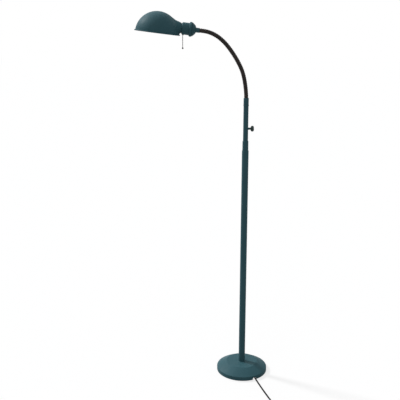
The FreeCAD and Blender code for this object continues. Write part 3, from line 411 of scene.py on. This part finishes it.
def notch_cutter():
    """A bar with a round top that cuts the cord's notch through the foot's wall."""
    made = bmesh.new()
    bmesh.ops.create_cube(made, size=2.0)
    tall = (NOTCH_HALF + NOTCH_SPRING + CUTTER_BELOW) / 2
    bmesh.ops.scale(made, vec=(CUTTER_HALF, NOTCH_HALF, tall), verts=made.verts)
    bmesh.ops.translate(made, vec=(CUTTER_MIDDLE, 0, tall - CUTTER_BELOW), verts=made.verts)
    top = [edge for edge in made.edges if all(spot.co.z > tall for spot in edge.verts)
           and abs(edge.verts[0].co.y - edge.verts[1].co.y) < 1.0]
    bmesh.ops.bevel(made, geom=top, offset=NOTCH_HALF - CUTTER_FLAT, offset_type="OFFSET",
                    segments=10, profile=0.5, affect="EDGES", material=-1)
    bmesh.ops.rotate(made, cent=(0, 0, 0), verts=made.verts,
                     matrix=Matrix.Rotation(math.radians(NOTCH_AZIMUTH), 3, "Z"))
    bmesh.ops.scale(made, vec=(MM, MM, MM), verts=made.verts)
    mesh = bpy.data.meshes.new("notch_cutter")
    made.to_mesh(mesh)
    made.free()
    cutter = bpy.data.objects.new("notch_cutter", mesh)
    bpy.context.collection.objects.link(cutter)
    return cutter


def make_pole():
    turned("pole_lower", [(12.1, 40.05, 0), (13.6, 40.05, 0.4), (13.6, 976.6, 1.1),
                          (12.1, 976.6, 0.2)], "teal_paint", "stand", nodes=["lower_pole"])
    turned("pole_coupler", [(9.0, 936.0, 0), (12.0, 936.0, 0.4), (12.0, 1015.5, 1.3),
                            (10.12, 1015.5, 0.2), (10.12, 985.0, 0), (9.0, 985.0, 0)],
           "teal_paint", "stand", nodes=["pole_coupling"])
    turned("pole_upper", [(9.0, 985.0, 0), (10.1, 985.0, 0), (10.1, 1156.3, 0),
                          (9.0, 1156.3, 0)], "teal_paint", "stand", nodes=["upper_pole"])
    turned("end_bead", [(7.55, 1134.0, 0), (8.95, 1134.0, 0.3), (8.95, 1156.3, 0),
                        (11.15, 1156.3, 2.4), (11.15, 1162.2, 2.6), (7.55, 1162.2, 0.3)],
           "teal_paint", "stand", steps=72, nodes=["tube_end_bush"])
    turned("boss", [(2.5, 9.4, 0), (4.4, 9.4, 0), (4.4, 15.0, 0.5), (2.5, 15.0, 0.2)],
           "teal_paint", "stand", upright(SCREW_HEIGHT) @ ALONG_X, 48, ["screw_boss"])


def make_sleeve():
    turned("neck_socket", [(7.5, 1162.4, 0.2), (10.45, 1162.4, 0.8), (10.45, 1187.75, 1.2),
                           (8.4, 1187.75, 0.3), (8.4, 1180.0, 0), (7.5, 1180.0, 0)],
           "teal_paint", "rod", steps=72, nodes=["neck_sleeve"])


# --------------------------------------------------------------------------------------
# Thumbscrew
# --------------------------------------------------------------------------------------
SCREW_HEIGHT = 1065.4
KNOB_FLUTES = 18
FLUTE_START, FLUTE_FULL, FLUTE_DEPTH = 8.5, 11.0, 0.045


def make_thumbscrew():
    place = upright(SCREW_HEIGHT) @ ALONG_X
    turned("screw_shank", [(0, 11.1, 0), (2.45, 11.1, 0.3), (2.45, 15.3, 0), (4.1, 15.3, 0.5),
                           (4.1, 20.2, 0.2), (0, 20.2, 0)],
           "knob_paint", "thumbscrew", place, 48, ["thumbscrew_shank"])
    made = bmesh.new()
    outline(made, [(0, 19.7, 0), (6.0, 19.7, 1.2), (10.4, 21.9, 2.0), (11.6, 24.2, 2.0),
                   (11.6, 28.9, 2.4), (9.5, 32.0, 2.0), (5.8, 32.9, 2.0), (0, 32.9, 0)])
    turn_about_axis(made, KNOB_FLUTES * 8)
    for spot in made.verts:
        across = math.hypot(spot.co.x, spot.co.y)
        share = min(1.0, max(0.0, (across - FLUTE_START) / (FLUTE_FULL - FLUTE_START)))
        groove = 0.5 - 0.5 * math.cos(math.atan2(spot.co.y, spot.co.x) * KNOB_FLUTES)
        shrink = 1.0 - FLUTE_DEPTH * share * groove ** 2
        spot.co.x *= shrink
        spot.co.y *= shrink
    settle("screw_knob", made, "knob_paint", "thumbscrew", place, 60.0, ["thumbscrew_knob"])


# --------------------------------------------------------------------------------------
# Flexible neck: a helically wound tube, cut into one stiff length for each body, with a
# ball in each joint that shows where the ribs open in a bend
# --------------------------------------------------------------------------------------
NECK_RADIUS = 8.3
JOINT_BALL = 6.9
RIB_PITCH = NECK_PITCH / 3
RIB = [(0.0, -1.15), (0.07, -0.55), (0.2, -0.15), (0.36, 0.0), (0.64, 0.0), (0.8, -0.15),
       (0.93, -0.55), (1.0, -1.15)]
RIB_MERGE = 0.02
SOCKET_FLOOR = 1180.5
LAST_REACH = 4.0


def wound_tube(low, high):
    """The wound tube between two stations along its axis: one rib's section is turned and
    raised by one pitch a turn, then both ends are cut square and closed."""
    around = 44
    first = math.floor(low / RIB_PITCH) - 1
    turns = math.ceil(high / RIB_PITCH) - first + 1
    made = bmesh.new()
    section = [made.verts.new((NECK_RADIUS + deep, 0.0, (first + share) * RIB_PITCH))
               for share, deep in RIB]
    wire = [made.edges.new(pair) for pair in zip(section, section[1:])]
    bmesh.ops.spin(made, geom=section + wire, cent=(0, 0, 0), axis=(0, 0, 1),
                   dvec=(0, 0, RIB_PITCH / around), angle=math.tau * turns,
                   steps=around * turns)
    bmesh.ops.remove_doubles(made, verts=made.verts, dist=RIB_MERGE)
    for station, side in ((low, -1.0), (high, 1.0)):
        cut = bmesh.ops.bisect_plane(made, geom=made.verts[:] + made.edges[:] + made.faces[:],
                                     plane_co=(0, 0, station), plane_no=(0, 0, side),
                                     clear_outer=True)
        bmesh.ops.edgeloop_fill(made, edges=[item for item in cut["geom_cut"]
                                             if isinstance(item, bmesh.types.BMEdge)])
    bmesh.ops.recalc_face_normals(made, faces=made.faces)
    return made


def neck_arcs():
    """The neck's middle line, one arc for each pivot: (station, run, start, pivot, end)."""
    last = len(PIVOTS) - 1
    arcs = []
    station = 0.0
    for index, pivot in enumerate(PIVOTS):
        start = Vector((0, 0, SOCKET_FLOOR)) if index == 0 else (PIVOTS[index - 1] + pivot) / 2
        end = (pivot + TILT @ Vector((-LAST_REACH, 0, 0)) if index == last
               else (pivot + PIVOTS[index + 1]) / 2)
        run = (pivot - start).length + (end - pivot).length
        arcs.append((station, run, start, pivot, end))
        station += run
    return arcs


def on_neck(arcs, station):
    """The place and the direction of the middle line at a station along it."""
    reached = [arc for arc in arcs if arc[0] <= station]
    first, run, start, pivot, end = reached[-1] if reached else arcs[0]
    share = min(1.0, max(0.0, (station - first) / run))
    middle = start.lerp(pivot, share).lerp(pivot.lerp(end, share), share)
    return middle, (pivot - start).lerp(end - pivot, share).normalized()


def make_neck():
    arcs = neck_arcs()
    cuts = [0.0] + [first + run / 2 for first, run, *_ in arcs] + [arcs[-1][0] + arcs[-1][1]]
    links = ["neck_%02d" % number for number in range(1, len(PIVOTS))]
    side = Vector((0, 1, 0))
    for number, body in enumerate(["rod"] + links + ["holder"]):
        made = wound_tube(cuts[number], cuts[number + 1])
        for spot in made.verts:
            middle, slope = on_neck(arcs, spot.co.z)
            spot.co = middle + side * spot.co.x + slope.cross(side) * spot.co.y
        if number:
            bmesh.ops.create_uvsphere(made, u_segments=32, v_segments=20, radius=JOINT_BALL,
                                      matrix=Matrix.Translation(PIVOTS[number - 1]))
        settle("neck_skin_%02d" % number, made, "neck_black", body, sharp=75.0,
               nodes=["gooseneck_%02d" % number] if body in links else [])


# --------------------------------------------------------------------------------------
# Lamp holder
# --------------------------------------------------------------------------------------
def make_holder():
    turned("collar", [
        (1.9, 142.5, 0), (4.7, 142.5, 0.3), (4.7, 148.3, 0), (9.2, 148.3, 0),
        (9.2, 162.0, 1.0), (8.4, 162.0, 0.2), (8.4, 156.0, 0), (1.9, 156.0, 0),
    ], "teal_paint", "holder", HOLDER_LATHE, nodes=["neck_collar"])
    turned("bell", [
        (25.0, 133.5, 0), (26.6, 133.5, 0.4), (24.9, 136.2, 2.0), (16.6, 144.9, 5.0),
        (10.8, 148.2, 1.0), (4.75, 148.2, 0), (4.75, 146.8, 0), (10.2, 146.8, 1.0),
        (15.4, 143.4, 4.0), (23.4, 135.5, 1.0),
    ], "teal_paint", "holder", HOLDER_LATHE, nodes=["bell_cap"])
    turned("flange", [
        (21.4, 121.3, 0.2), (28.0, 121.3, 4.8), (28.0, 133.45, 4.8), (21.4, 133.45, 0.2),
    ], "teal_paint", "holder", HOLDER_LATHE, 128, ["cup_flange"])
    turned("cup", [
        (17.6, 92.4, 0.4), (23.3, 92.4, 5.6), (23.3, 121.25, 0.2), (22.1, 121.25, 0.1),
        (22.1, 98.4, 4.2), (17.6, 93.9, 0.2),
    ], "teal_paint", "holder", HOLDER_LATHE, 128, ["socket_cup"])


# --------------------------------------------------------------------------------------
# Shade: a dome that flows into a tapering throat
# --------------------------------------------------------------------------------------
DOME_RADIUS = 86.0
DOME_DROP = 3.5
THROAT = [(40.0, 35.2), (56.0, 30.4), (84.0, 22.0), (92.2, 18.4), (120.0, 18.4)]
THROAT_CUT = 92.2
THROAT_LEAN = 0.94
FLOW = 7.0
SKIN_WALL, LINING_INSET = 0.5, 0.55
EYE = Vector((40.0, 0.0, HOLDER_RISE))
RAY_START, RAY_FAR = 5.0, 140.0
RAY_STEPS, RAY_SHARE, RAY_CLOSE = 60, 0.9, 0.002
DISC_MERGE = 0.0002
BEAD_RADIUS, BEAD_RING, BEAD_ROUND = 2.2, 87.3, 0.99


def outside_shade(spot, inset):
    """How far a spot in the rim's frame lies outside the shade's surface moved in by inset."""
    dome = (spot + Vector((0, 0, DOME_DROP))).length - (DOME_RADIUS - inset)
    stations, radii = zip(*THROAT)
    width = math.hypot(spot.y, spot.z - HOLDER_RISE)
    throat = (width - np.interp(spot.x, stations, radii) + inset) * THROAT_LEAN
    throat = max(throat, EYE.x - spot.x)
    mix = min(1.0, max(0.0, 0.5 + 0.5 * (throat - dome) / FLOW))
    return throat * (1 - mix) + dome * mix - FLOW * mix * (1 - mix)


def shade_skin(name, finish, inset, nodes=()):
    """A flat disc draped over the shade's form from a point inside it, then given its wall."""
    columns, rows = ((208, 84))
    rim_radius = math.sqrt((DOME_RADIUS - inset) ** 2 - DOME_DROP ** 2)
    made = bmesh.new()
    spots = [made.verts.new((row / rows, 0.0, 0.0)) for row in range(rows + 1)]
    for pair in zip(spots, spots[1:]):
        made.edges.new(pair)
    bmesh.ops.spin(made, geom=made.verts[:] + made.edges[:], cent=(0, 0, 0), axis=(0, 0, 1),
                   angle=math.tau, steps=columns, use_merge=True)
    bmesh.ops.remove_doubles(made, verts=made.verts, dist=DISC_MERGE)
    for spot in made.verts:
        share = math.hypot(spot.co.x, spot.co.y)
        turn = math.atan2(spot.co.y, spot.co.x)
        heading = Vector((math.cos(turn), math.sin(turn), 0.0))
        along = -EYE.x * heading.x
        reach = along + math.sqrt(along ** 2 - EYE.x ** 2 + rim_radius ** 2)
        lowest = math.atan2(-HOLDER_RISE, reach)
        rise = math.pi / 2 + (lowest - math.pi / 2) * share
        ray = heading * math.cos(rise) + Vector((0, 0, math.sin(rise)))
        reach = RAY_START
        for _ in range(RAY_STEPS):
            step = outside_shade(EYE + ray * reach, inset)
            reach -= step * RAY_SHARE
            if abs(step) < RAY_CLOSE or reach > RAY_FAR:
                break
        spot.co = EYE + ray * reach
    bmesh.ops.bisect_plane(made, geom=made.verts[:] + made.edges[:] + made.faces[:],
                           plane_co=(THROAT_CUT, 0, 0), plane_no=(1, 0, 0), clear_outer=True)
    bmesh.ops.recalc_face_normals(made, faces=made.faces)
    bmesh.ops.solidify(made, geom=made.faces[:], thickness=SKIN_WALL)
    settle(name, made, finish, "shade_part", RIM, 45.0, nodes)


def make_shade():
    shade_skin("shade_skin", "teal_paint", 0.0, ["shade"])
    shade_skin("shade_lining", "shade_white", LINING_INSET)
    inner, outer = BEAD_RING - BEAD_RADIUS, BEAD_RING + BEAD_RADIUS
    top, corner = 2 * BEAD_RADIUS, BEAD_RADIUS * BEAD_ROUND
    turned("shade_bead", [(inner, 0.0, corner), (outer, 0.0, corner),
                          (outer, top, corner), (inner, top, corner)],
           "teal_paint", "shade_part", RIM, 224)
    turned("shade_sleeve", [(15.35, 91.9, 0), (17.2, 91.9, 0), (17.2, 105.6, 0.4),
                            (15.35, 105.6, 0.2)], "teal_paint", "shade_part", HOLDER_LATHE)


# --------------------------------------------------------------------------------------
# Bulb and switch chain
# --------------------------------------------------------------------------------------
GLOBE_RADIUS, GLOBE_MIDDLE, GLOBE_CUT = 27.5, 44.5, 60.0
GLOBE_NECK = [(65.0, 19.0), (70.0, 16.6), (75.0, 14.4), (80.5, 12.8), (88.0, 12.8)]


def make_bulb():
    """A round globe that narrows to its neck: a ball drawn out behind its middle."""
    made = bmesh.new()
    bmesh.ops.create_uvsphere(made, u_segments=64, v_segments=48, radius=GLOBE_RADIUS)
    bmesh.ops.translate(made, vec=(0, 0, GLOBE_MIDDLE), verts=made.verts)
    bmesh.ops.bisect_plane(made, geom=made.verts[:] + made.edges[:] + made.faces[:],
                           plane_co=(0, 0, GLOBE_CUT), plane_no=(0, 0, 1), clear_outer=True)
    for height, radius in GLOBE_NECK:
        rim = [edge for edge in made.edges if edge.is_boundary]
        grown = bmesh.ops.extrude_edge_only(made, edges=rim)["geom"]
        for spot in (item for item in grown if isinstance(item, bmesh.types.BMVert)):
            spread = math.hypot(spot.co.x, spot.co.y)
            spot.co = Vector((spot.co.x * radius / spread, spot.co.y * radius / spread, height))
    bmesh.ops.edgeloop_fill(made, edges=[edge for edge in made.edges if edge.is_boundary])
    bmesh.ops.recalc_face_normals(made, faces=made.faces)
    settle("bulb", made, "bulb_glass", "holder", HOLDER_LATHE, 50.0, ["bulb_glass"])


CHAIN_BEADS = 11
BEAD_PITCH, BEAD_SIZE, FIRST_BEAD, WIRE_RADIUS = 4.0, 1.75, 2.05, 0.5


def make_chain():
    """Hollow beads on a wire, hanging straight down to the pull ball."""
    low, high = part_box("bead_chain")
    top = Vector(((low[0] + high[0]) / 2, 0, high[2])) / MM
    wire = top.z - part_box("pull_ball")[1][2] / MM
    made = bmesh.new()
    for number in range(CHAIN_BEADS):
        spot = top - Vector((0, 0, FIRST_BEAD + number * BEAD_PITCH))
        bmesh.ops.create_uvsphere(made, u_segments=20, v_segments=12, radius=BEAD_SIZE,
                                  matrix=Matrix.Translation(spot))
    bmesh.ops.create_cone(made, cap_ends=True, segments=10, radius1=WIRE_RADIUS,
                          radius2=WIRE_RADIUS, depth=wire,
                          matrix=Matrix.Translation(top - Vector((0, 0, wire / 2))))
    settle("chain_beads", made, "chain_nickel", "chain", sharp=50.0, nodes=["bead_chain"])


# --------------------------------------------------------------------------------------
# Floor and light
# --------------------------------------------------------------------------------------
FLOOR_HALF, FLOOR_DROP = 30.0, 0.0005
FLOOR_BOUNCE = 0.35
FLOOR_SHADE = 0.25
WHITE = (1.0, 1.0, 1.0, 1.0)
AMBIENT, AMBIENT_COLOUR = 0.31, (0.96, 0.98, 1.0, 1.0)
LAMPS = [
    ("key_left", (-0.66, 0.38, 0.65), 0.74, 8.0),
    ("soft_back", (-0.3, 0.6, 0.74), 0.1, 40.0),
    ("soft_front", (-0.2, -0.45, 0.87), 0.16, 40.0),
]


def seen_white(tree):
    """1 where the camera sees a point, straight, mirrored or through glass, and else 0."""
    path = tree.nodes.new("ShaderNodeLightPath")
    total = path.outputs["Is Camera Ray"]
    for kind in ("Is Glossy Ray", "Is Transmission Ray"):
        both = tree.nodes.new("ShaderNodeMath")
        both.operation = "MAXIMUM"
        tree.links.new(total, both.inputs[0])
        tree.links.new(path.outputs[kind], both.inputs[1])
        total = both.outputs[0]
    return total


def make_floor():
    """A plain floor: seen nearly white from above, with the lamp's soft shadow on it, and
    clear from below, so that the foot's underside can be seen."""
    made = bmesh.new()
    bmesh.ops.create_grid(made, x_segments=1, y_segments=1, size=FLOOR_HALF)
    mesh = bpy.data.meshes.new("floor")
    made.to_mesh(mesh)
    made.free()
    mesh.transform(Matrix.Translation((0, 0, -FLOOR_DROP)))
    floor = bpy.data.objects.new("floor", mesh)
    bpy.context.collection.objects.link(floor)
    material = bpy.data.materials.new("floor_white")
    material.use_nodes = True
    tree = material.node_tree
    plain = tree.nodes["Principled BSDF"]
    plain.inputs["Base Color"].default_value = (FLOOR_BOUNCE, FLOOR_BOUNCE, FLOOR_BOUNCE, 1.0)
    plain.inputs["Roughness"].default_value = 0.9
    plain.inputs["Specular IOR Level"].default_value = 0.0
    pale = tree.nodes.new("ShaderNodeBsdfDiffuse")
    pale.inputs["Color"].default_value = WHITE
    glow = tree.nodes.new("ShaderNodeEmission")
    glow.inputs["Color"].default_value = WHITE
    glow.inputs["Strength"].default_value = 1.0
    seen = tree.nodes.new("ShaderNodeMixShader")
    seen.inputs["Fac"].default_value = FLOOR_SHADE
    tree.links.new(glow.outputs["Emission"], seen.inputs[1])
    tree.links.new(pale.outputs["BSDF"], seen.inputs[2])
    choice = tree.nodes.new("ShaderNodeMixShader")
    tree.links.new(seen_white(tree), choice.inputs["Fac"])
    tree.links.new(plain.outputs["BSDF"], choice.inputs[1])
    tree.links.new(seen.outputs["Shader"], choice.inputs[2])
    facing = tree.nodes.new("ShaderNodeNewGeometry")
    clear = tree.nodes.new("ShaderNodeBsdfTransparent")
    sided = tree.nodes.new("ShaderNodeMixShader")
    tree.links.new(facing.outputs["Backfacing"], sided.inputs["Fac"])
    tree.links.new(choice.outputs["Shader"], sided.inputs[1])
    tree.links.new(clear.outputs["BSDF"], sided.inputs[2])
    tree.links.new(sided.outputs["Shader"], tree.nodes["Material Output"].inputs["Surface"])
    mesh.materials.append(material)


def make_world():
    """An even soft light all round, which the camera and the reflections see as white."""
    world = bpy.data.worlds.new("studio")
    world.use_nodes = True
    bpy.context.scene.world = world
    tree = world.node_tree
    soft = tree.nodes["Background"]
    soft.inputs["Color"].default_value = AMBIENT_COLOUR
    soft.inputs["Strength"].default_value = AMBIENT
    bright = tree.nodes.new("ShaderNodeBackground")
    bright.inputs["Color"].default_value = WHITE
    bright.inputs["Strength"].default_value = 1.0
    choice = tree.nodes.new("ShaderNodeMixShader")
    tree.links.new(seen_white(tree), choice.inputs["Fac"])
    tree.links.new(soft.outputs["Background"], choice.inputs[1])
    tree.links.new(bright.outputs["Background"], choice.inputs[2])
    tree.links.new(choice.outputs["Shader"], tree.nodes["World Output"].inputs["Surface"])


def add_sun(name, towards, strength, spread):
    """A far lamp in the given direction; strength 1 lights a surface that faces it fully."""
    data = bpy.data.lights.new(name, "SUN")
    data.energy = strength * math.pi
    data.angle = math.radians(spread)
    light = bpy.data.objects.new(name, data)
    light.rotation_euler = Vector(towards).to_track_quat("Z", "Y").to_euler()
    bpy.context.collection.objects.link(light)


make_camera()
MATERIALS = make_finishes()
make_cord()
make_floor()
make_world()
for lamp in LAMPS:
    add_sun(*lamp)
dress_nodes()
make_foot()
make_pole()
make_sleeve()
make_thumbscrew()
make_neck()
make_holder()
make_shade()
make_bulb()
make_chain()

bpy.context.scene.view_settings.view_transform = "Standard"
